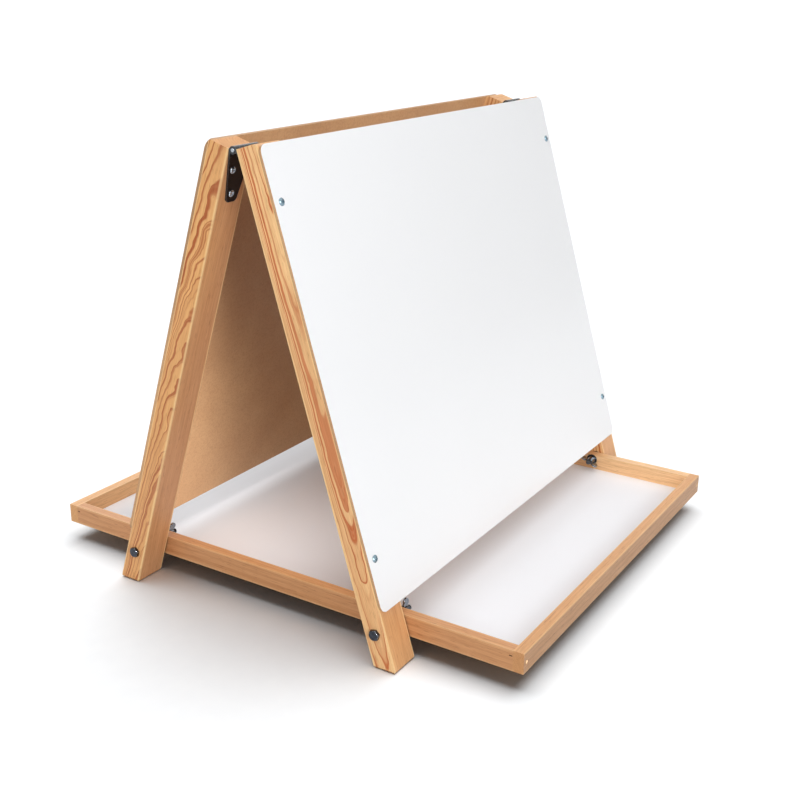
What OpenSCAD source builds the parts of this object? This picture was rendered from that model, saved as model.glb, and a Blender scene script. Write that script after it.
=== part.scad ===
// Double-sided table-top easel: two hinged panels and a level tray bolted between their legs.
// The ridge runs along X, the front panel leans towards -Y and the floor is z = 0.

/* [Panels] */
// Width of both boards and of the whole easel
board_w = 610; // [480:10:760]
// Height of a board, measured along its slope
board_h = 480; // [430:5:480]
// Thickness of the hardboard sheets
board_t = 3.2; // [3:0.1:5]
// Radius of the board corners
board_corner_r = 9; // [5:1:30]
// Drop of the board's top edge below the leg tops
board_drop = 1.7; // [0.5:0.1:6]

/* [Legs] */
// Leg width, along the ridge
leg_w = 38; // [32:1:50]
// Leg thickness, square to the board
leg_t = 25.4; // [22:0.2:32]
// Angle of each panel from upright
half_angle = 17.3; // [15:0.1:20]
// Height of the hinge axis above the floor
pivot_z = 515.5; // [500:0.5:530]

/* [Hinges] */
// Radius of the hinge barrel
knuckle_r = 4; // [3.6:0.1:5]
// Radius of the hinge pin
hinge_pin_r = 2; // [1.5:0.1:2.2]
// Thickness of a hinge leaf
leaf_t = 1.8; // [1.2:0.1:2]
// Length of a hinge leaf below the axis
leaf_len = 58; // [45:0.5:65]
// Width of a hinge leaf at the barrel
leaf_w = 37.5; // [30:0.5:38]
// Width of a hinge leaf at its tip
leaf_tip_w = 17; // [12:0.5:24]

/* [Tray] */
// Width of the tray, along the ridge
tray_w = 530; // [400:5:530]
// Length of the tray, front to back
tray_l = 633; // [560:1:680]
// Thickness of the tray rails
rail_t = 12.5; // [10:0.5:16]
// Height of the tray rails
rail_h = 23.4; // [22:0.2:30]
// Height of the tray's underside above the floor
tray_z = 23.1; // [15:0.1:30]

/* [Bolts] */
// Radius of the bolts
bolt_r = 3.1; // [2.5:0.1:3.2]
// Width of a hexagon bolt head across its flats
bolt_head_flats = 11.1; // [9:0.1:13]
// Height of a bolt head
bolt_head_h = 4; // [3:0.1:6]
// Height of the bolts above the floor
bolt_z = 39.6; // [39.5:0.1:40.5]
// Distance from the bolt axis to the tip of a wing
wing_reach = 12.8; // [10:0.1:12.8]

/* [Hidden] */
$fn = 64;

eps = 0.5;
bore_gap = 0.3;
running_gap = 0.07;
moving_gap = 0.35;

// Each panel is drawn hanging straight down from the hinge axis, y outwards and z upwards.
leg_inner_y = knuckle_r + 0.9;
leg_outer_y = leg_inner_y + leg_t;
leg_top = -0.3;
leg_top_r = 4;
foot_r = 3;
board_top = leg_top - board_drop;
leg_mid_y = leg_inner_y + leg_t / 2;
leg_mid_x = board_w / 2 - leg_w / 2;
function floor_drop(y) = (pivot_z + y * sin(half_angle)) / cos(half_angle);
bolt_drop = (pivot_z + leg_mid_y * sin(half_angle) - bolt_z) / cos(half_angle);
bolt_y = leg_mid_y * cos(half_angle) + bolt_drop * sin(half_angle);

// Screws
board_screw_inset = 11;
board_screw_end = 56.5;
board_screw_head_r = 4.1;
board_screw_head_h = 2.5;
board_screw_l = 19;
screw_r = 1.7;
screw_hole_r = 1.75;
hinge_screw_head_r = 3.7;
hinge_screw_head_h = 1.9;
hinge_screw_l = 16;
hinge_holes = [[5.4, 10.3], [-7.5, 23.3], [-2.1, 48.7]];

// Bolt stack, measured inwards from the leg's outer side
washer_r = 7.5;
washer_t = 1.6;
washer_hole_r = 3.3;
side_gap = (board_w - tray_w) / 2 - leg_w;
rail_outer = leg_w + side_gap;
rail_inner = rail_outer + rail_t;
nut_h = 7.2;
nut_base_r = 5.6;
nut_top_r = 4.4;
wing_t = 2.2;
wing_rise = 11.5;
nut_start = rail_inner + 0.3 + washer_t + 0.2;
bolt_l = nut_start + nut_h + 5;
// rest angles of the wing nuts: back left, back right, front left, front right
nut_turns = [10, 65, -8, 114];
split_gap = 0.4;

// Tray
panel_t = board_t;
rabbet = 6;
rail_inset_x = tray_w / 2 - rail_t;
rail_inset_y = tray_l / 2 - rail_t;
nail_r = 0.9;
nail_l = 32;
nail_z = tray_z + rail_h * 0.5;
plug_r = 1.8;
plug_t = 1.5;
brad_head = [4, 1.2];
brad_head_t = 0.8;
brad_r = 0.5;
brad_l = 10;
brad_z = tray_z + rail_h * 0.72;
brad_offset = 2.5;
panel_brad_l = 12;
panel_brad_pitch_x = 140;
panel_brad_pitch_y = 170;

wood = "burlywood";
hardboard = "whitesmoke";
steel = "silver";
black_steel = "#1c1c1c";

// ---- frames of reference ----

// side is +1 for the back panel and -1 for the front panel
module panel_frame(side) {
    translate([0, 0, pivot_z])
        mirror([0, side < 0 ? 1 : 0, 0])
            rotate([half_angle, 0, 0])
                children();
}

// end is -1 for the left end and +1 for the right end; x then runs inwards from the leg's outer side
module from_end(end) {
    mirror([end > 0 ? 1 : 0, 0, 0])
        translate([-board_w / 2, 0, 0])
            children();
}

// places children on a bolt axis, with z running inwards along the bolt
module on_bolt(side, end) {
    from_end(end)
        translate([0, side * bolt_y, bolt_z])
            rotate([0, 90, 0])
                children();
}

// ---- shared shapes ----

module ring(r, hole_r, h) {
    difference() {
        cylinder(r = r, h = h);
        translate([0, 0, -eps]) cylinder(r = hole_r, h = h + 2 * eps);
    }
}

// cross-recess pan head above z = 0 and shank below it
module pan_screw(head_r, head_h, shank_l) {
    cap = head_h * 0.75;
    dome_r = (head_r * head_r + cap * cap) / (2 * cap);
    slot_w = head_r * 0.26;
    slot_l = head_r * 1.15;
    difference() {
        union() {
            intersection() {
                translate([0, 0, head_h - dome_r]) sphere(r = dome_r);
                cylinder(r = head_r, h = head_h);
            }
            translate([0, 0, -shank_l]) cylinder(r = screw_r, h = shank_l + 0.2);
        }
        for (turn = [20, 110])
            rotate([0, 0, turn])
                translate([-slot_l / 2, -slot_w / 2, head_h * 0.4]) cube([slot_l, slot_w, head_h]);
    }
}

module board_screw_places() {
    for (end = [-1, 1], drop = [board_screw_end, board_h - board_screw_end])
        translate([end * (board_w / 2 - board_screw_inset), leg_outer_y + board_t, board_top - drop])
            rotate([-90, 0, 0])
                children();
}

module hinge_screw_places(end) {
    for (hole = hinge_holes)
        translate([end * (leg_mid_x - hole[0]), leg_inner_y - leaf_t, -hole[1]])
            rotate([90, 0, 0])
                children();
}

// ---- panels ----

// what is cut away to round the corner at v, whose sides run along the unit vectors a and b
module corner_waste(v, a, b, r) {
    half = acos(a * b) / 2;
    inward = (a + b) / norm(a + b);
    middle = v + inward * r / sin(half);
    reach = r / tan(half);
    difference() {
        polygon([v - inward * eps, v + a * reach, middle, v + b * reach]);
        translate(middle) circle(r = r);
    }
}

module leg_outline() {
    sole_inner = [leg_inner_y, -floor_drop(leg_inner_y)];
    sole_outer = [leg_outer_y, -floor_drop(leg_outer_y)];
    along = (sole_outer - sole_inner) / norm(sole_outer - sole_inner);
    difference() {
        polygon([[leg_inner_y, leg_top], [leg_outer_y, leg_top], sole_outer, sole_inner]);
        corner_waste([leg_outer_y, leg_top], [-1, 0], [0, -1], leg_top_r);
        corner_waste(sole_inner, [0, 1], along, foot_r);
        corner_waste(sole_outer, [0, 1], -along, foot_r);
    }
}

// eases the left and right edges of a leg's sole
module sole_waste(side, end) {
    sole_y = side * (leg_mid_y / cos(half_angle) + pivot_z * tan(half_angle));
    for (edge = [-1, 1])
        translate([end * leg_mid_x + edge * leg_w / 2, sole_y + leg_t, 0])
            rotate([90, 0, 0])
                linear_extrude(height = 2 * leg_t) corner_waste([0, 0], [-edge, 0], [0, 1], foot_r);
}

module leg(side, end) {
    board_hole_l = board_screw_l + 1 - board_t + eps;
    hinge_hole_l = hinge_screw_l + 1 - leaf_t + eps;
    color(wood)
    difference() {
        panel_frame(side)
            difference() {
                translate([end * leg_mid_x - leg_w / 2, 0, 0])
                    rotate([90, 0, 90])
                        linear_extrude(height = leg_w) leg_outline();
                translate([end * leg_mid_x - leg_w, leg_mid_y, -bolt_drop])
                    rotate([0, 90, 0])
                        cylinder(r = bolt_r + bore_gap, h = 2 * leg_w);
                board_screw_places()
                    translate([0, 0, -board_screw_l - 1]) cylinder(r = screw_hole_r, h = board_hole_l);
                hinge_screw_places(end)
                    translate([0, 0, -hinge_screw_l - 1]) cylinder(r = screw_hole_r, h = hinge_hole_l);
            }
        sole_waste(side, end);
    }
}

module rounded_sheet(w, h, t, r) {
    linear_extrude(height = t)
        union() {
            translate([-w / 2 + r, 0]) square([w - 2 * r, h]);
            translate([-w / 2, r]) square([w, h - 2 * r]);
            for (x = [-w / 2 + r, w / 2 - r], y = [r, h - r])
                translate([x, y]) circle(r = r);
        }
}

module board(side) {
    color(hardboard)
    panel_frame(side)
        difference() {
            translate([0, leg_outer_y + board_t, board_top - board_h])
                rotate([90, 0, 0])
                    rounded_sheet(board_w, board_h, board_t, board_corner_r);
            board_screw_places()
                translate([0, 0, -board_t - eps]) cylinder(r = screw_hole_r, h = board_t + 2 * eps);
        }
}

module board_screws(side) {
    color(steel)
    panel_frame(side)
        board_screw_places()
            pan_screw(board_screw_head_r, board_screw_head_h, board_screw_l);
}

// ---- strap hinges ----

knuckles = 5;
knuckle_l = leaf_w / knuckles;
knuckle_gap = 0.3;
knuckle_room_r = knuckle_r + moving_gap;
function knuckle_owner(i) = i % 2 == 0 ? 1 : -1;

module leaf_outline() {
    tip_r = 5;
    tip_z = -leaf_len + tip_r;
    tip_x = leaf_tip_w / 2;
    polygon([[-leaf_w / 2, 0], [leaf_w / 2, 0], [tip_x, tip_z], [tip_x - tip_r, -leaf_len],
             [-tip_x + tip_r, -leaf_len], [-tip_x, tip_z]]);
    for (x = [-tip_x + tip_r, tip_x - tip_r])
        translate([x, tip_z]) circle(r = tip_r);
}

module hinge_leaf(side, end) {
    color(black_steel)
    panel_frame(side)
        difference() {
            union() {
                difference() {
                    translate([end * leg_mid_x, leg_inner_y, 0])
                        rotate([90, 0, 0])
                            linear_extrude(height = leaf_t) leaf_outline();
                    for (i = [0 : knuckles - 1])
                        if (knuckle_owner(i) != side)
                            translate([end * leg_mid_x - leaf_w / 2 + i * knuckle_l - knuckle_gap, 0, 0])
                                rotate([0, 90, 0])
                                    cylinder(r = knuckle_room_r, h = knuckle_l + 2 * knuckle_gap);
                }
                for (i = [0 : knuckles - 1])
                    if (knuckle_owner(i) == side)
                        translate([end * leg_mid_x - leaf_w / 2 + i * knuckle_l, 0, 0])
                            rotate([0, 90, 0])
                                cylinder(r = knuckle_r, h = knuckle_l - knuckle_gap);
            }
            translate([end * leg_mid_x - leaf_w, 0, 0])
                rotate([0, 90, 0])
                    cylinder(r = hinge_pin_r + running_gap, h = 2 * leaf_w);
            hinge_screw_places(end)
                translate([0, 0, -leaf_t - eps]) cylinder(r = screw_hole_r, h = leaf_t + 2 * eps);
        }
}

module hinge_pin(end) {
    overhang = 0.6;
    color(steel)
    translate([end * leg_mid_x - leaf_w / 2 - overhang, 0, pivot_z])
        rotate([0, 90, 0])
            cylinder(r = hinge_pin_r, h = leaf_w + 2 * overhang);
}

module hinge_screws(side) {
    color(steel)
    panel_frame(side)
        for (end = [-1, 1])
            hinge_screw_places(end)
                pan_screw(hinge_screw_head_r, hinge_screw_head_h, hinge_screw_l);
}

// ---- bolts, washers and wing nuts ----

module bolt_head() {
    chamfer_r = bolt_head_flats * 0.68;
    translate([0, 0, -bolt_head_h])
        intersection() {
            rotate([0, 0, 15]) cylinder(r = bolt_head_flats / 2 / cos(30), h = bolt_head_h, $fn = 6);
            translate([0, 0, chamfer_r * 0.86]) sphere(r = chamfer_r * 1.1);
        }
}

// whole bolt: head outside the leg, plain tip inside the tray
module bolt(side, end) {
    color(steel)
    on_bolt(side, end) {
        bolt_head();
        translate([0, 0, -eps]) cylinder(r = bolt_r, h = bolt_l + eps);
    }
}

// part of a front bolt that stays in the leg when the tray is released
module bolt_head_part(end) {
    color(steel)
    on_bolt(-1, end) {
        bolt_head();
        translate([0, 0, -eps]) cylinder(r = bolt_r, h = leg_w + eps);
    }
}

// part of a front bolt that runs through the tray rail
module bolt_end_part(end) {
    color(steel)
    on_bolt(-1, end)
        translate([0, 0, leg_w + split_gap]) cylinder(r = bolt_r, h = bolt_l - leg_w - split_gap);
}

// the back washers stay with the leg and the front washers with the tray
module bolt_washers(side) {
    spacer_start = side > 0 ? leg_w : rail_outer - washer_t;
    inner_start = side > 0 ? rail_inner + 0.3 : rail_inner;
    color(steel)
    for (end = [-1, 1])
        on_bolt(side, end) {
            translate([0, 0, spacer_start]) ring(washer_r, washer_hole_r, washer_t);
            translate([0, 0, inner_start]) ring(washer_r, washer_hole_r, washer_t);
        }
}

module wing_outline() {
    lobe_r = 4.2;
    lobe_x = wing_reach - lobe_r;
    lobe_z = wing_rise - lobe_r;
    polygon([[0, 0.8], [nut_base_r, 0.8], [wing_reach - 0.6, lobe_z - 1.5],
             [lobe_x - 2.6, lobe_z + 3.3], [nut_top_r - 1, nut_h], [0, nut_h]]);
    translate([lobe_x, lobe_z]) circle(r = lobe_r);
}

module wing_nut(side, end, turn) {
    color(steel)
    on_bolt(side, end)
        translate([0, 0, nut_start])
            rotate([0, 0, turn])
                difference() {
                    union() {
                        cylinder(r1 = nut_base_r, r2 = nut_top_r, h = nut_h);
                        for (half = [0, 180])
                            rotate([0, 0, half])
                                translate([0, wing_t / 2, 0])
                                    rotate([90, 0, 0])
                                        linear_extrude(height = wing_t) wing_outline();
                    }
                    translate([0, 0, -eps]) cylinder(r = bolt_r + running_gap, h = wing_rise + 2 * eps);
                }
}

// ---- tray ----

// rail along X at the front (side = -1) or the back (side = +1)
module tray_end_rail(side) {
    color(wood)
    mirror([0, side < 0 ? 1 : 0, 0])
        difference() {
            translate([-tray_w / 2, rail_inset_y, tray_z]) cube([tray_w, rail_t, rail_h]);
            translate([-tray_w / 2 + rail_t - rabbet, rail_inset_y - eps, tray_z - eps])
                cube([tray_w - 2 * (rail_t - rabbet), rabbet + eps, panel_t + eps]);
            panel_brad_holes();
            for (end = [-1, 1])
                translate([end * (tray_w / 2 - rail_t / 2), tray_l / 2, nail_z])
                    rotate([90, 0, 0]) {
                        translate([0, 0, -eps]) cylinder(r = nail_r + 0.02, h = rail_t + 2 * eps);
                        translate([0, 0, -eps]) cylinder(r = plug_r + 0.02, h = plug_t + eps);
                    }
        }
}

// rail along Y between the two end rails
module tray_side_rail(end) {
    color(wood)
    mirror([end > 0 ? 1 : 0, 0, 0])
        difference() {
            translate([-tray_w / 2, -rail_inset_y, tray_z]) cube([rail_t, 2 * rail_inset_y, rail_h]);
            translate([-tray_w / 2 + rail_t - rabbet, -rail_inset_y - eps, tray_z - eps])
                cube([rabbet + eps, 2 * rail_inset_y + 2 * eps, panel_t + eps]);
            panel_brad_holes();
            for (side = [-1, 1]) {
                translate([-tray_w / 2 - eps, side * bolt_y, bolt_z])
                    rotate([0, 90, 0])
                        cylinder(r = bolt_r + running_gap, h = rail_t + 2 * eps);
                translate([-tray_w / 2 + rail_t / 2, side * (rail_inset_y + eps), nail_z])
                    rotate([side * 90, 0, 0])
                        cylinder(r = nail_r + 0.02, h = nail_l - rail_t + eps);
                translate([-tray_w / 2, side * (rail_inset_y - brad_offset), brad_z])
                    brad_hole();
            }
        }
}

module brad_hole() {
    slack = 0.02;
    translate([-eps, -brad_head[0] / 2 - slack, -brad_head[1] / 2 - slack])
        cube([brad_head_t + eps + 0.4, brad_head[0] + 2 * slack, brad_head[1] + 2 * slack]);
    rotate([0, 90, 0]) cylinder(r = brad_r + slack, h = brad_l + 1);
}

module panel_brad_places() {
    rows = [-1.5, -0.5, 0.5, 1.5];
    for (side = [-1, 1], row = rows) {
        translate([row * panel_brad_pitch_x, side * (tray_l / 2 - rail_t + rabbet / 2), tray_z]) children();
        translate([side * (tray_w / 2 - rail_t + rabbet / 2), row * panel_brad_pitch_y, tray_z]) children();
    }
}

module panel_brad_holes() {
    panel_brad_places()
        translate([0, 0, -eps]) cylinder(r = brad_r + 0.02, h = panel_brad_l + eps + 1);
}

module tray_panel() {
    color(hardboard)
    difference() {
        translate([-tray_w / 2 + rail_t - rabbet, -tray_l / 2 + rail_t - rabbet, tray_z])
            cube([tray_w - 2 * (rail_t - rabbet), tray_l - 2 * (rail_t - rabbet), panel_t]);
        panel_brad_holes();
    }
}

module tray_panel_brads() {
    color(steel)
    panel_brad_places()
        cylinder(r = brad_r, h = panel_brad_l);
}

module tray_corner_nails() {
    color(steel)
    for (end = [-1, 1], side = [-1, 1])
        translate([end * (tray_w / 2 - rail_t / 2), side * (tray_l / 2 - plug_t), nail_z])
            rotate([side * 90, 0, 0])
                cylinder(r = nail_r, h = nail_l - plug_t - 1);
}

module tray_nail_plugs() {
    color("wheat")
    for (end = [-1, 1], side = [-1, 1])
        translate([end * (tray_w / 2 - rail_t / 2), side * (tray_l / 2 + 0.1), nail_z])
            rotate([side * 90, 0, 0])
                cylinder(r = plug_r, h = plug_t);
}

module tray_corner_brads() {
    color(black_steel)
    for (end = [-1, 1], side = [-1, 1])
        mirror([end > 0 ? 1 : 0, 0, 0])
            translate([-tray_w / 2 + 0.4, side * (rail_inset_y - brad_offset), brad_z]) {
                translate([0, -brad_head[0] / 2, -brad_head[1] / 2])
                    cube([brad_head_t, brad_head[0], brad_head[1]]);
                rotate([0, 90, 0]) cylinder(r = brad_r, h = brad_l);
            }
}

leg(1, -1);  // back_left_leg
leg(1, 1);  // back_right_leg
board(1);  // back_board
board_screws(1);  // back_board_screws
hinge_leaf(1, -1);  // left_hinge_back_leaf
hinge_leaf(1, 1);  // right_hinge_back_leaf
hinge_pin(-1);  // left_hinge_pin
hinge_pin(1);  // right_hinge_pin
hinge_screws(1);  // back_hinge_screws
bolt(1, -1);  // back_left_bolt
bolt(1, 1);  // back_right_bolt
bolt_washers(1);  // back_bolt_washers
leg(-1, -1);  // front_left_leg
leg(-1, 1);  // front_right_leg
board(-1);  // front_board
board_screws(-1);  // front_board_screws
hinge_leaf(-1, -1);  // left_hinge_front_leaf
hinge_leaf(-1, 1);  // right_hinge_front_leaf
hinge_screws(-1);  // front_hinge_screws
bolt_head_part(-1);  // front_left_bolt_head
bolt_head_part(1);  // front_right_bolt_head
tray_end_rail(-1);  // tray_front_rail
tray_end_rail(1);  // tray_back_rail
tray_side_rail(-1);  // tray_left_rail
tray_side_rail(1);  // tray_right_rail
tray_panel();
tray_corner_nails();
tray_corner_brads();
tray_nail_plugs();
tray_panel_brads();
bolt_end_part(-1);  // front_left_bolt_end
bolt_end_part(1);  // front_right_bolt_end
bolt_washers(-1);  // front_bolt_washers
wing_nut(1, -1, nut_turns[0]);  // back_left_wing_nut
wing_nut(1, 1, nut_turns[1]);  // back_right_wing_nut
wing_nut(-1, -1, nut_turns[2]);  // front_left_wing_nut
wing_nut(-1, 1, nut_turns[3]);  // front_right_wing_nut
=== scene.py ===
import math

import bpy
from mathutils import Matrix, Vector


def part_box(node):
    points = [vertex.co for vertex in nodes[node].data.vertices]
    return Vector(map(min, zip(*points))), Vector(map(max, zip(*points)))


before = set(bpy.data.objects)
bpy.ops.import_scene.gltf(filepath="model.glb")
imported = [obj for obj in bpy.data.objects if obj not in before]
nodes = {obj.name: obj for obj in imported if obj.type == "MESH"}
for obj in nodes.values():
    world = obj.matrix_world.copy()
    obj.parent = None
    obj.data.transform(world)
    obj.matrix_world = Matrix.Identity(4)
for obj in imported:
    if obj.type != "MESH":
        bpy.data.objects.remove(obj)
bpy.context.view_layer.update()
scene = bpy.context.scene

MM = 0.001
LEAN = math.radians(17.3)
FACE_LIMIT = 0.9
SIDES = {"front": -1, "back": 1}
ENDS = ("left", "right")


def outward(side):
    """The direction a panel's outer face looks in."""
    return Vector((0, side * math.cos(LEAN), math.sin(LEAN)))


# ---------------------------------------------------------------- node helpers


def put(tree, socket, value):
    if isinstance(value, bpy.types.NodeSocket):
        tree.links.new(value, socket)
    elif isinstance(value, bpy.types.Node):
        tree.links.new(value.outputs[0], socket)
    else:
        socket.default_value = value


def add(tree, kind, props=None, **inputs):
    """A node of this kind; inputs are named with _ for a space, or i0, i1 for a place in the list."""
    node = tree.nodes.new("ShaderNode" + kind)
    for name, value in (props or {}).items():
        setattr(node, name, value)
    for name, value in inputs.items():
        if name[0] == "i" and name[1:].isdigit():
            put(tree, node.inputs[int(name[1:])], value)
        else:
            put(tree, node.inputs[name.replace("_", " ")], value)
    return node


def calc(tree, operation, a, b=0.0, c=0.0, clamp=False):
    node = add(tree, "Math", {"operation": operation, "use_clamp": clamp}, i0=a, i1=b)
    put(tree, node.inputs[2], c)
    return node.outputs[0]


def vec(tree, operation, a, b=(0, 0, 0)):
    return add(tree, "VectorMath", {"operation": operation}, i0=a, i1=b).outputs[0]


def remap(tree, value, low, high, to_low=0.0, to_high=1.0):
    node = add(tree, "MapRange", {"interpolation_type": "SMOOTHSTEP"}, Value=value)
    for name, number in zip(("From Min", "From Max", "To Min", "To Max"), (low, high, to_low, to_high)):
        put(tree, node.inputs[name], number)
    return node.outputs[0]


def mix(tree, factor, a, b, blend="MIX"):
    node = add(tree, "Mix", {"data_type": "RGBA", "blend_type": blend})
    put(tree, node.inputs[0], factor)
    put(tree, node.inputs[6], a)
    put(tree, node.inputs[7], b)
    return node.outputs[2]


def tint(tree, factor, colour, shade):
    """Multiplies the colour by a shade, as far as factor says."""
    return mix(tree, factor, colour, mix(tree, 1.0, colour, shade, "MULTIPLY"))


def ramp(tree, factor, stops):
    node = add(tree, "ValToRGB", None, Fac=factor)
    elements = node.color_ramp.elements
    while len(elements) < len(stops):
        elements.new(0.5)
    for element, (place, value) in zip(elements, stops):
        element.position = place
        element.color = (value, value, value, 1)
    return node.outputs[0]


def noise(tree, vector, scale, detail=2.0, roughness=0.5, stretch=None):
    if stretch is not None:
        vector = vec(tree, "MULTIPLY", vector, stretch)
    return add(tree, "TexNoise", None, Vector=vector, Scale=scale, Detail=detail, Roughness=roughness)


def linear(*rgb):
    """A colour given as it looks on screen, 0 to 255, as the shader needs it."""
    values = [c / 255 for c in rgb]
    return tuple(c / 12.92 if c <= 0.04045 else ((c + 0.055) / 1.055) ** 2.4 for c in values) + (1.0,)


def new_material(name):
    material = bpy.data.materials.new(name)
    material.use_nodes = True
    tree = material.node_tree
    tree.nodes.clear()
    shader = add(tree, "BsdfPrincipled")
    out = add(tree, "OutputMaterial")
    tree.links.new(shader.outputs[0], out.inputs[0])
    return material, tree, shader


def bump(tree, height, strength, distance):
    return add(tree, "Bump", None, Height=height, Strength=strength, Distance=distance).outputs[0]


# ---------------------------------------------------------------- timber


TIMBER_INPUTS = {
    "NodeSocketVector": ("Place", "Facing", "Seed", "Pith", "Drift", "Half"),
    "NodeSocketFloat": ("Pitch", "Warp", "Tremble", "Depth", "Calm", "RubbedAndHighlit"),
    "NodeSocketColor": ("Early", "Late", "Blush"),
}
TIMBER_OUTPUTS = {
    "NodeSocketColor": ("Color",), "NodeSocketFloat": ("Roughness",), "NodeSocketVector": ("Normal",),
}
# late wood across one ring, from the pith side outwards
LATE_WOOD = [(0.0, 0.3), (0.05, 0.0), (0.45, 0.03), (0.64, 0.2), (0.76, 0.85), (0.9, 1.0), (1.0, 0.3)]
# how often each noise repeats per metre, across the grain twice and then along it
SLOW_BEND = (20, 20, 5.5)
QUICK_BEND = (28, 28, 38)
FIBRES = (1100, 1100, 30)
STREAKS = (230, 230, 8)
PATCHES = (14, 14, 4)
DUCTS = (1500, 1500, 90)


def timber_group():
    """Growth rings round a pith line that runs roughly along z, with fibres, pores, and eased edges painted
    pale as rubbed wood and a painted highlight.
    """
    tree = bpy.data.node_groups.new("timber", "ShaderNodeTree")
    for way, sockets in (("INPUT", TIMBER_INPUTS), ("OUTPUT", TIMBER_OUTPUTS)):
        for kind, names in sockets.items():
            for name in names:
                tree.interface.new_socket(name, in_out=way, socket_type=kind)
    given = tree.nodes.new("NodeGroupInput").outputs
    result = tree.nodes.new("NodeGroupOutput").inputs
    place = given["Place"]
    seeded = vec(tree, "ADD", place, given["Seed"])

    def wander(stretch, detail, amount):
        field = noise(tree, seeded, 1.0, detail, 0.5, stretch).outputs[1]
        field = vec(tree, "SUBTRACT", field, (0.5, 0.5, 0.5))
        return add(tree, "VectorMath", {"operation": "SCALE"}, i0=field, Scale=amount).outputs[0]

    # the rings wander slowly along the grain, and tremble a little
    slow = wander(SLOW_BEND, 1.0, given["Warp"])
    quick = wander(QUICK_BEND, 2.0, given["Tremble"])
    wandered = vec(tree, "ADD", vec(tree, "ADD", place, slow), quick)
    along = add(tree, "SeparateXYZ", None, Vector=place).outputs[2]
    drift = add(tree, "VectorMath", {"operation": "SCALE"}, i0=given["Drift"], Scale=along).outputs[0]
    from_pith = vec(tree, "SUBTRACT", vec(tree, "SUBTRACT", wandered, given["Pith"]), drift)
    flat = vec(tree, "MULTIPLY", from_pith, (1, 1, 0))
    radius = add(tree, "VectorMath", {"operation": "LENGTH"}, i0=flat).outputs["Value"]
    turns = calc(tree, "DIVIDE", radius, given["Pitch"])
    spread = calc(tree, "MULTIPLY", turns, 0.45)
    uneven = add(tree, "TexNoise", {"noise_dimensions": "1D"}, W=spread, Detail=1.0)
    turns = calc(tree, "ADD", turns, uneven.outputs[0])
    phase = calc(tree, "FRACT", turns)
    ring = calc(tree, "FLOOR", turns)
    year = add(tree, "TexWhiteNoise", {"noise_dimensions": "1D"}, W=ring).outputs[0]
    late = ramp(tree, phase, LATE_WOOD)
    late = calc(tree, "MULTIPLY", late, calc(tree, "MULTIPLY_ADD", year, 0.35, 0.7))

    # faces cut square to the rings show them least
    facing = add(tree, "SeparateXYZ", None, Vector=given["Facing"]).outputs
    quiet = calc(tree, "MULTIPLY", calc(tree, "ABSOLUTE", facing[1]), given["Calm"], clamp=True)
    end = remap(tree, calc(tree, "ABSOLUTE", facing[2]), 0.6, 0.9)
    open_end = calc(tree, "MULTIPLY_ADD", end, -0.65, 1.0)
    shown = calc(tree, "MULTIPLY", calc(tree, "SUBTRACT", 1.0, quiet), open_end)
    late = calc(tree, "MULTIPLY", late, calc(tree, "MULTIPLY", given["Depth"], shown), clamp=True)

    fibre = noise(tree, seeded, 1.0, 3.0, 0.6, FIBRES).outputs[0]
    streak = noise(tree, seeded, 1.0, 2.0, 0.5, STREAKS).outputs[0]
    broad = noise(tree, seeded, 1.0, 1.0, 0.5, PATCHES).outputs[0]
    colour = mix(tree, late, given["Early"], given["Late"])
    patchy = remap(tree, broad, 0.35, 0.7, 0.0, 0.3)
    blushed = calc(tree, "ADD", patchy, calc(tree, "MULTIPLY", quiet, 0.75), clamp=True)
    colour = mix(tree, blushed, colour, given["Blush"])
    colour = tint(tree, remap(tree, streak, 0.3, 0.75, 0.0, 0.32), colour, (0.80, 0.66, 0.52, 1))
    colour = tint(tree, remap(tree, fibre, 0.40, 0.75, 0.0, 0.42), colour, (0.66, 0.55, 0.45, 1))
    colour = tint(tree, remap(tree, fibre, 0.50, 0.28, 0.0, 0.30), colour, (1.16, 1.18, 1.2, 1))
    # short dark resin ducts
    ducts = noise(tree, seeded, 1.0, 0.0, 0.5, DUCTS).outputs[0]
    colour = tint(tree, remap(tree, ducts, 0.70, 0.80, 0.0, 0.55), colour, (0.5, 0.36, 0.25, 1))

    # end grain drinks more finish, and eased corners are painted pale: partly paler rubbed wood, partly a
    # painted edge highlight
    colour = tint(tree, calc(tree, "MULTIPLY", end, 0.4), colour, (0.80, 0.70, 0.62, 1))
    gap = vec(tree, "SUBTRACT", given["Half"], vec(tree, "ABSOLUTE", place))
    gaps = add(tree, "SeparateXYZ", None, Vector=gap).outputs
    corner = calc(tree, "MAXIMUM", gaps[0], gaps[1])
    wobble = calc(tree, "MULTIPLY", calc(tree, "SUBTRACT", streak, 0.5), 1.4 * MM)
    shaky = calc(tree, "ADD", corner, wobble)
    rubbed_and_highlit = calc(tree, "MULTIPLY", remap(tree, shaky, 0.6 * MM, 2.4 * MM, 1.0, 0.0), given["RubbedAndHighlit"])
    colour = mix(tree, rubbed_and_highlit, colour, linear(252, 216, 158))

    rough = calc(tree, "ADD", calc(tree, "MULTIPLY", fibre, 0.22), 0.33)
    rough = calc(tree, "SUBTRACT", rough, calc(tree, "MULTIPLY", late, 0.07))
    rough = calc(tree, "ADD", rough, calc(tree, "MULTIPLY", end, 0.18), clamp=True)
    height = calc(tree, "ADD", calc(tree, "MULTIPLY", fibre, 0.5), calc(tree, "MULTIPLY", late, 0.35))
    height = calc(tree, "ADD", height, calc(tree, "MULTIPLY", streak, 0.3))
    tree.links.new(colour, result["Color"])
    tree.links.new(rough, result["Roughness"])
    tree.links.new(bump(tree, height, 0.35, 0.35 * MM), result["Normal"])
    return tree


TIMBER = timber_group()


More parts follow.
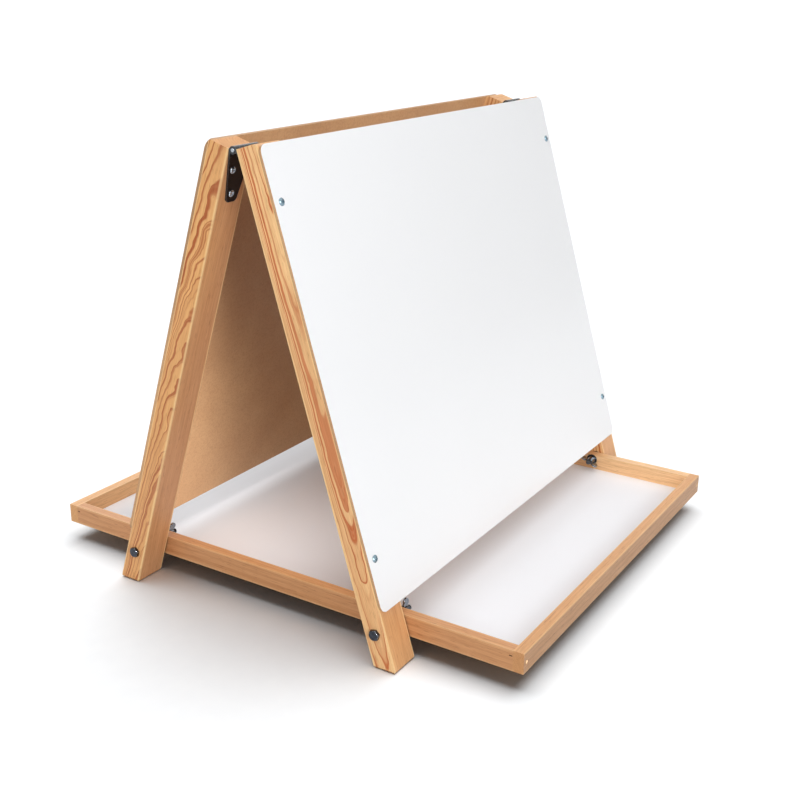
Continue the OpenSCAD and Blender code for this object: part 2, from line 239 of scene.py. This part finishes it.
def timber(name, turn, centre, half, look):
    """Timber for one piece: turn brings its length to z, centre is its middle, and look is in mm."""
    material, tree, shader = new_material(name)
    coords = add(tree, "TexCoord")
    moved = vec(tree, "SUBTRACT", coords.outputs["Object"], tuple(centre))
    place = add(tree, "Mapping", {"vector_type": "VECTOR"}, Vector=moved, Rotation=turn)
    facing = add(tree, "Mapping", {"vector_type": "VECTOR"}, Vector=coords.outputs["Normal"], Rotation=turn)
    group = add(tree, "Group", {"node_tree": TIMBER})
    pith, drift = look["pith"], look["drift"]
    for key, value in {
        "Place": place.outputs[0], "Facing": facing.outputs[0], "Seed": (look["seed"], look["seed"] * 1.7, 0),
        "Pith": (pith[0] * MM, pith[1] * MM, 0), "Drift": (drift[0], drift[1], 0),
        "Half": (half[0], half[1], 1), "Pitch": look["pitch"] * MM, "Warp": look["warp"] * MM,
        "Tremble": look["tremble"] * MM, "Depth": look["depth"], "Calm": look["calm"], "RubbedAndHighlit": look["rubbed_and_highlit"],
        "Early": linear(*look["early"]), "Late": linear(*look["late"]), "Blush": linear(*look["blush"]),
    }.items():
        put(tree, group.inputs[key], value)
    put(tree, shader.inputs["Base Color"], group.outputs["Color"])
    put(tree, shader.inputs["Roughness"], group.outputs["Roughness"])
    put(tree, shader.inputs["Normal"], group.outputs["Normal"])
    shader.inputs["Coat Weight"].default_value = 0.1
    shader.inputs["Coat Roughness"].default_value = 0.3
    shader.inputs["Specular IOR Level"].default_value = 0.32
    return material


# ---------------------------------------------------------------- sheet materials


def hardboard(name):
    """Pressed wood fibre: smooth, felted, a little cloudy."""
    material, tree, shader = new_material(name)
    place = add(tree, "TexCoord").outputs["Object"]
    cloud = noise(tree, place, 7.0, 3.0, 0.55).outputs[0]
    felt = noise(tree, place, 420.0, 4.0, 0.65).outputs[0]
    hairs = noise(tree, place, 1.0, 2.0, 0.6, (1500, 420, 420)).outputs[0]
    colour = mix(tree, remap(tree, cloud, 0.3, 0.7), linear(190, 146, 104), linear(204, 161, 117))
    colour = mix(tree, remap(tree, felt, 0.4, 0.72, 0.0, 0.4), colour, linear(160, 116, 82))
    colour = mix(tree, remap(tree, hairs, 0.6, 0.78, 0.0, 0.3), colour, linear(226, 188, 148))
    put(tree, shader.inputs["Base Color"], colour)
    put(tree, shader.inputs["Roughness"], calc(tree, "MULTIPLY_ADD", felt, 0.25, 0.42))
    put(tree, shader.inputs["Normal"], bump(tree, calc(tree, "ADD", felt, hairs), 0.25, 0.2 * MM))
    return material


def white_film(name, tone, rough, coat, specular):
    """The glossy white face of a marker board, with a faint orange-peel surface."""
    material, tree, shader = new_material(name)
    place = add(tree, "TexCoord").outputs["Object"]
    cloud = noise(tree, place, 3.0, 2.0, 0.5).outputs[0]
    peel = noise(tree, place, 260.0, 2.0, 0.5).outputs[0]
    haze = noise(tree, place, 9.0, 3.0, 0.6).outputs[0]
    put(tree, shader.inputs["Base Color"], mix(tree, cloud, linear(*[c - 4 for c in tone]), linear(*tone)))
    put(tree, shader.inputs["Roughness"], calc(tree, "MULTIPLY_ADD", haze, 0.10, rough))
    put(tree, shader.inputs["Normal"], bump(tree, peel, 0.05, 0.2 * MM))
    shader.inputs["Specular IOR Level"].default_value = specular
    shader.inputs["Coat Weight"].default_value = coat
    shader.inputs["Coat Roughness"].default_value = 0.12
    return material


# ---------------------------------------------------------------- metals


def metal(name, low, high, rough, scratch=(900, 900, 60), edge_glint_and_wear=None, enamel=False, thread=None):
    """Plated steel, or black enamel over steel.

    The colour given for sharp edges is painted on them: a painted glint on the dark chromes, worn steel and a
    painted glint on the enamel. thread is the pitch of a thread along x, and its grooves get painted shade.
    """
    material, tree, shader = new_material(name)
    place = add(tree, "TexCoord").outputs["Object"]
    blotch = noise(tree, place, 320.0, 3.0, 0.6).outputs[0]
    fine = noise(tree, place, 1.0, 2.0, 0.6, scratch).outputs[0]
    colour = mix(tree, blotch, linear(*low), linear(*high))
    roughness = calc(tree, "ADD", calc(tree, "MULTIPLY", fine, 0.2), rough - 0.1, clamp=True)
    height = calc(tree, "ADD", blotch, calc(tree, "MULTIPLY", fine, 0.5))
    metallic = 0.0 if enamel else 1.0
    # sharp edges painted pale from the soft and sharp normals: a painted glint, and on the enamel worn steel
    # too
    if edge_glint_and_wear is not None:
        soft = add(tree, "Bevel", {"samples": 4}, Radius=0.6 * MM).outputs[0]
        sharp = add(tree, "NewGeometry").outputs["Normal"]
        same = add(tree, "VectorMath", {"operation": "DOT_PRODUCT"}, i0=soft, i1=sharp).outputs["Value"]
        edge = calc(tree, "SUBTRACT", 1.0, same)
        edge = remap(tree, calc(tree, "ADD", edge, calc(tree, "MULTIPLY", blotch, 0.12)), 0.1, 0.22, 0.0, 0.6)
        colour = mix(tree, edge, colour, linear(*edge_glint_and_wear))
        metallic = calc(tree, "MAXIMUM", edge, metallic)
    # the thread's grooves are painted darker: painted shade, beside the bump for the teeth
    if thread is not None:
        axis = add(tree, "SeparateXYZ", None, Vector=place).outputs[0]
        tooth = calc(tree, "PINGPONG", calc(tree, "DIVIDE", axis, thread), 0.5)
        height = calc(tree, "ADD", height, calc(tree, "MULTIPLY", tooth, 9.0))
        colour = mix(tree, calc(tree, "MULTIPLY", tooth, 1.6), linear(*[c * 0.55 for c in low]), colour)
    put(tree, shader.inputs["Base Color"], colour)
    put(tree, shader.inputs["Metallic"], metallic)
    put(tree, shader.inputs["Roughness"], roughness)
    put(tree, shader.inputs["Normal"], bump(tree, height, 0.2, 0.1 * MM))
    return material


def filler(name):
    """Sanded wood filler, paler than the timber and quite dull."""
    material, tree, shader = new_material(name)
    place = add(tree, "TexCoord").outputs["Object"]
    grain = noise(tree, place, 900.0, 3.0, 0.6).outputs[0]
    put(tree, shader.inputs["Base Color"], mix(tree, grain, linear(200, 160, 116), linear(224, 188, 144)))
    put(tree, shader.inputs["Roughness"], calc(tree, "MULTIPLY_ADD", grain, 0.2, 0.6))
    put(tree, shader.inputs["Normal"], bump(tree, grain, 0.3, 0.2 * MM))
    return material


BROWN = hardboard("hardboard_brown")
FILM = white_film("board_film", (240, 241, 243), 0.2, 0.35, 0.5)
TRAY_FILM = white_film("tray_film", (244, 244, 247), 0.38, 0.06, 0.28)
SCREW = metal("blued_screw_steel", (104, 128, 140), (158, 178, 188), 0.24)
BRIGHT = metal("bright_screw_steel", (168, 176, 184), (215, 220, 226), 0.2)
# the near-white edge colours on the two chromes are painted glints; on the enamel the pale edge is worn steel
# and a painted glint
BOLT = metal("dark_chrome", (30, 32, 37), (92, 96, 105), 0.13, edge_glint_and_wear=(238, 241, 244))
NUT = metal("wing_nut_chrome", (84, 89, 97), (168, 174, 182), 0.14, edge_glint_and_wear=(236, 239, 242))
THREAD = metal("bolt_thread", (70, 74, 80), (150, 155, 160), 0.26, thread=1.27 * MM)
ENAMEL = metal("black_enamel", (4, 4, 5), (12, 12, 14), 0.14, edge_glint_and_wear=(160, 164, 170), enamel=True)
PIN = metal("hinge_pin_steel", (120, 126, 132), (205, 210, 215), 0.24, scratch=(60, 900, 900))
DARK = metal("dark_brad_steel", (24, 21, 20), (52, 47, 44), 0.5)
FILLER = filler("wood_filler")


# ---------------------------------------------------------------- dressing the CAD nodes


def dress(name, *materials, pick=None):
    """Gives a node its materials; pick chooses one of them for each face by the face's direction."""
    mesh = nodes[name].data
    mesh.materials.clear()
    for material in materials:
        mesh.materials.append(material)
    for polygon in mesh.polygons:
        polygon.material_index = pick(polygon.normal) if pick else 0


def soften(name, width, segments=3):
    """Joins the split faces, merges the flat ones and rounds the edges."""
    o = nodes[name]
    weld = o.modifiers.new("join", "WELD")
    weld.merge_threshold = 0.01 * MM
    plain = o.modifiers.new("merge", "DECIMATE")
    plain.decimate_type = "DISSOLVE"
    plain.angle_limit = math.radians(1)
    plain.delimit = {"MATERIAL"}
    bevel = o.modifiers.new("ease", "BEVEL")
    bevel.width = width
    bevel.segments = segments
    bevel.limit_method = "ANGLE"
    bevel.angle_limit = math.radians(35)
    bevel.use_clamp_overlap = True
    bevel.miter_outer = "MITER_ARC"
    tidy = o.modifiers.new("shade", "WEIGHTED_NORMAL")
    tidy.weight = 100
    tidy.keep_sharp = False


def middle(name):
    low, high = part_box(name)
    return (low + high) / 2


LEG_HALF = (19 * MM, 12.7 * MM)
RAIL_HALF = (6.25 * MM, 11.7 * MM)
LEG_EASE = 1.4 * MM
RAIL_EASE = 1.1 * MM
BOARD_EASE = 0.4 * MM
PANEL_EASE = 0.3 * MM

# the pale band on eased edges is partly rubbed wood and partly a painted edge highlight
PINE = dict(
    drift=(0, 0), seed=0.0, warp=6.0, tremble=5.0, depth=1.0, calm=0.75, rubbed_and_highlit=0.6,
    early=(243, 196, 140), late=(184, 98, 40), blush=(206, 152, 110),
)
leg_looks = {
    "back_left": dict(pith=(8, -14), drift=(0.075, 0.0), pitch=3.3, warp=4.0, seed=2.53,
                      early=(238, 182, 118), late=(168, 76, 18)),
    "front_left": dict(pith=(-2, -8), drift=(-0.03, -0.016), pitch=3.4, warp=7.0, tremble=2.0, seed=2.21,
                       early=(253, 208, 150), late=(198, 88, 25), blush=(206, 150, 102)),
    "back_right": dict(pith=(-12, 70), drift=(0.02, 0.03), pitch=4.4, warp=8.0, seed=2.07),
    "front_right": dict(pith=(9, -82), drift=(0.01, 0.02), pitch=4.8, warp=8.0, seed=2.9),
}
for key, look in leg_looks.items():
    name = f"{key}_leg"
    turn = (-SIDES[key.split("_")[0]] * LEAN, 0, 0)
    dress(name, timber(f"timber_{key}_leg", turn, middle(name), LEG_HALF, PINE | look))
    soften(name, LEG_EASE)

ALONG_Y = (math.pi / 2, 0, 0)
ALONG_X = (0, -math.pi / 2, 0)
# rails get a fainter pale edge band: rubbed wood and a painted edge highlight
PLAIN = PINE | dict(
    warp=5.0, tremble=2.0, depth=0.28, calm=0.0, rubbed_and_highlit=0.22,
    early=(222, 168, 116), late=(172, 106, 58), blush=(206, 150, 102),
)
rail_looks = {
    "left": (ALONG_Y, RAIL_HALF, dict(pith=(-60, 30), pitch=3.4, seed=0.5,
                                      early=(216, 160, 112), blush=(202, 144, 98))),
    "right": (ALONG_Y, RAIL_HALF, dict(pith=(44, 26), pitch=3.6, seed=0.8,
                                       early=(246, 202, 152), blush=(236, 188, 138))),
    "front": (ALONG_X, RAIL_HALF[::-1], dict(pith=(26, 40), pitch=3.0, seed=1.4, blush=(204, 152, 104))),
    "back": (ALONG_X, RAIL_HALF[::-1], dict(pith=(-30, 36), pitch=3.5, seed=1.9,
                                            early=(236, 184, 130), blush=(222, 168, 116))),
}
for key, (turn, half, look) in rail_looks.items():
    name = f"tray_{key}_rail"
    dress(name, timber(f"timber_{key}_rail", turn, middle(name), half, PLAIN | look))
    soften(name, RAIL_EASE)

for panel, side in SIDES.items():
    face = outward(side)
    dress(f"{panel}_board", BROWN, FILM, pick=lambda normal: int(normal.dot(face) > FACE_LIMIT))
    soften(f"{panel}_board", BOARD_EASE, 2)
dress("tray_panel", BROWN, TRAY_FILM, pick=lambda normal: int(normal.z > FACE_LIMIT))
soften("tray_panel", PANEL_EASE, 2)

# the small parts by material, with the width of their eased edges in mm
small_parts = {
    SCREW: (["back_board_screws", "front_board_screws"], 0.2),
    BRIGHT: (["back_hinge_screws", "front_hinge_screws"], 0.2),
    ENAMEL: ([f"{end}_hinge_{panel}_leaf" for end in ENDS for panel in SIDES], 0.4),
    PIN: (["left_hinge_pin", "right_hinge_pin"], 0.4),
    BOLT: (["front_left_bolt_head", "front_right_bolt_head", "back_bolt_washers", "front_bolt_washers",
            "back_left_bolt", "back_right_bolt"], 0.3),
    THREAD: (["front_left_bolt_end", "front_right_bolt_end"], 0.4),
    NUT: ([f"{panel}_{end}_wing_nut" for end in ENDS for panel in SIDES], 0.6),
    DARK: (["tray_corner_nails", "tray_corner_brads", "tray_panel_brads"], 0.0),
    FILLER: (["tray_nail_plugs"], 0.0),
}
for material, (names, width) in small_parts.items():
    for name in names:
        dress(name, material)
        if width:
            soften(name, width * MM, 2)


# ---------------------------------------------------------------- studio

FLOOR_REACH = 60.0
FLOOR_DROP = 0.2 * MM

corners = [(x * FLOOR_REACH, y * FLOOR_REACH, 0) for x, y in ((-1, -1), (1, -1), (1, 1), (-1, 1))]
floor_mesh = bpy.data.meshes.new("floor")
floor_mesh.from_pydata(corners, [], [(0, 1, 2, 3)])
floor = bpy.data.objects.new("floor", floor_mesh)
scene.collection.objects.link(floor)
floor.location.z = -FLOOR_DROP
floor_material, tree, shader = new_material("studio_floor")
place = add(tree, "TexCoord").outputs["Object"]
faint = noise(tree, place, 40.0, 3.0, 0.6).outputs[0]
pale = mix(tree, faint, linear(241, 244, 247), linear(246, 249, 251))
# the pale floor is seen at full brightness, and throws less light back up at the easel
path = add(tree, "LightPath").outputs
direct = calc(tree, "MAXIMUM", path["Is Camera Ray"], path["Is Glossy Ray"])
put(tree, shader.inputs["Base Color"], mix(tree, direct, linear(170, 170, 170), pale))
shader.inputs["Roughness"].default_value = 0.75
shader.inputs["Specular IOR Level"].default_value = 0.2
floor_mesh.materials.append(floor_material)

# how bright the white surroundings are to the camera, in reflections, and as light on the object
SEEN, MIRRORED, GIVEN = 1.0, 0.5, 0.16
WHITE = (1, 1, 1, 1)

world = bpy.data.worlds.new("studio")
scene.world = world
world.use_nodes = True
tree = world.node_tree
tree.nodes.clear()
seen = add(tree, "Background", None, Color=WHITE, Strength=SEEN)
given = add(tree, "Background", None, Color=WHITE, Strength=GIVEN)
mirrored = add(tree, "Background", None, Color=WHITE, Strength=MIRRORED)
path = add(tree, "LightPath").outputs
unseen = add(tree, "MixShader", None, i0=path["Is Glossy Ray"], i1=given, i2=mirrored)
both = add(tree, "MixShader", None, i0=path["Is Camera Ray"], i1=unseen, i2=seen)
tree.links.new(both.outputs[0], add(tree, "OutputWorld").inputs[0])


def lit(name, *wanted):
    """A group of things for a light to shine on."""
    group = bpy.data.collections.new(name)
    for o in wanted:
        group.objects.link(o)
    return group


def all_but(*endings):
    return [o for name, o in nodes.items() if not name.endswith(endings)]


tray_panel, back_board, front_board = nodes["tray_panel"], nodes["back_board"], nodes["front_board"]
rails = [nodes[f"tray_{key}_rail"] for key in rail_looks]
bright_parts = [nodes[name] for material, (names, width) in small_parts.items() for name in names
                if material is not SCREW]
ON_ALL = lit("object_only", *nodes.values())
ON_FLOOR = lit("floor_only", floor)
ON_FRAMES = lit("all_but_sheets", *all_but("_board", "_panel"))
ON_PANEL = lit("panel_only", tray_panel)
ON_KEYED = lit("key_things", *all_but("_rail", "back_board"))
ON_RAILS = lit("rails_only", *rails)
ON_LEFT_RAIL = lit("left_rail_only", nodes["tray_left_rail"])
ON_FILLED = lit("all_but_panel", *all_but("tray_panel"))
ON_BOARDS = lit("boards_only", front_board, back_board)
ON_FRONT_BOARD = lit("front_board_only", front_board)
ON_BACK_BOARD = lit("back_board_only", back_board)
ON_INSIDE = lit("inside_only", back_board, tray_panel)
ON_BRIGHT = lit("metal_only", *bright_parts)

SPOT_RADIUS = 0.12


def lamp(name, kind, power, towards, only):
    """A light of this kind that shines from the direction towards, on one group of things."""
    data = bpy.data.lights.new(name, kind)
    data.energy = power
    o = bpy.data.objects.new(name, data)
    scene.collection.objects.link(o)
    o.rotation_mode = "QUATERNION"
    o.rotation_quaternion = Vector(towards).to_track_quat("Z", "Y")
    o.light_linking.receiver_collection = only
    return o


def sun(name, towards, strength, angle, only):
    """A soft distant light; the wider its angle, the softer its shadows."""
    lamp(name, "SUN", strength, towards, only).data.angle = math.radians(angle)


def spot(name, place, target, power, cone, only):
    """A soft-edged beam from place to target that shows in no reflection."""
    o = lamp(name, "SPOT", power, Vector(place) - Vector(target), only)
    o.data.spot_size = math.radians(cone)
    o.data.spot_blend = 1.0
    o.data.shadow_soft_size = SPOT_RADIUS
    o.location = place
    o.visible_camera = False
    o.visible_glossy = False


sun("floor_light", (0.2, 0.03, 1.0), 3.5, 68, ON_FLOOR)
sun("top_light", (0.1, -0.1, 1.0), 1.75, 120, ON_FRAMES)
sun("panel_light", (-0.1, -0.35, 1.0), 1.85, 90, ON_PANEL)
sun("key_light", (-0.6, -0.8, 0.25), 2.2, 45, ON_KEYED)
sun("side_light", (-1.0, 0.1, 0.7), 0.4, 60, ON_ALL)
sun("rail_light", (-1.0, -0.3, 0.8), 1.1, 60, ON_RAILS)
sun("back_fill", (0.7, 0.8, 0.5), 0.7, 60, ON_FILLED)
sun("rear_board_light", (0.5, 0.8, 0.35), 1.4, 45, ON_BOARDS)
spot("board_light", (-1.1, -1.4, 1.3), (-0.1, -0.1, 0.35), 48.0, 80, ON_FRONT_BOARD)
spot("inside_light", (-0.6, -0.6, 0.1), (-0.24, 0.16, 0.03), 19.0, 58, ON_INSIDE)
spot("tent_light", (-0.12, 0.0, 0.36), (-0.2, 0.0, 0.0), 2.4, 110, ON_LEFT_RAIL)
spot("tray_light", (-0.12, -0.02, 0.4), (-0.2, 0.12, 0.03), 3.6, 76, ON_PANEL)
sun("ridge_light", (-0.3, -0.8, 0.45), 3.0, 30, ON_BACK_BOARD)
sun("glint_light", (-0.9, -0.75, 0.55), 5.0, 8, ON_BRIGHT)


# ---------------------------------------------------------------- camera

CAMERA_PLACE = (-1.1827, -0.7351, 0.6734)
CAMERA_LENS = 52.64
CAMERA_SENSOR = 36.0
AZIMUTH, ELEVATION, ROLL = (math.radians(angle) for angle in (58.281, 19.873, 0.816))

camera_data = bpy.data.cameras.new("camera")
camera_data.sensor_width = CAMERA_SENSOR
camera_data.lens = CAMERA_LENS
camera = bpy.data.objects.new("camera", camera_data)
scene.collection.objects.link(camera)
across = math.cos(ELEVATION)
forward = Vector((math.sin(AZIMUTH) * across, math.cos(AZIMUTH) * across, -math.sin(ELEVATION)))
level = Vector((math.cos(AZIMUTH), -math.sin(AZIMUTH), 0))
upright = level.cross(forward)
right = level * math.cos(ROLL) + upright * math.sin(ROLL)
up = upright * math.cos(ROLL) - level * math.sin(ROLL)
turned = Matrix((right, up, -forward)).transposed().to_4x4()
camera.matrix_world = Matrix.Translation(CAMERA_PLACE) @ turned
scene.camera = camera

scene.view_settings.view_transform = "Standard"
scene.view_settings.look = "None"
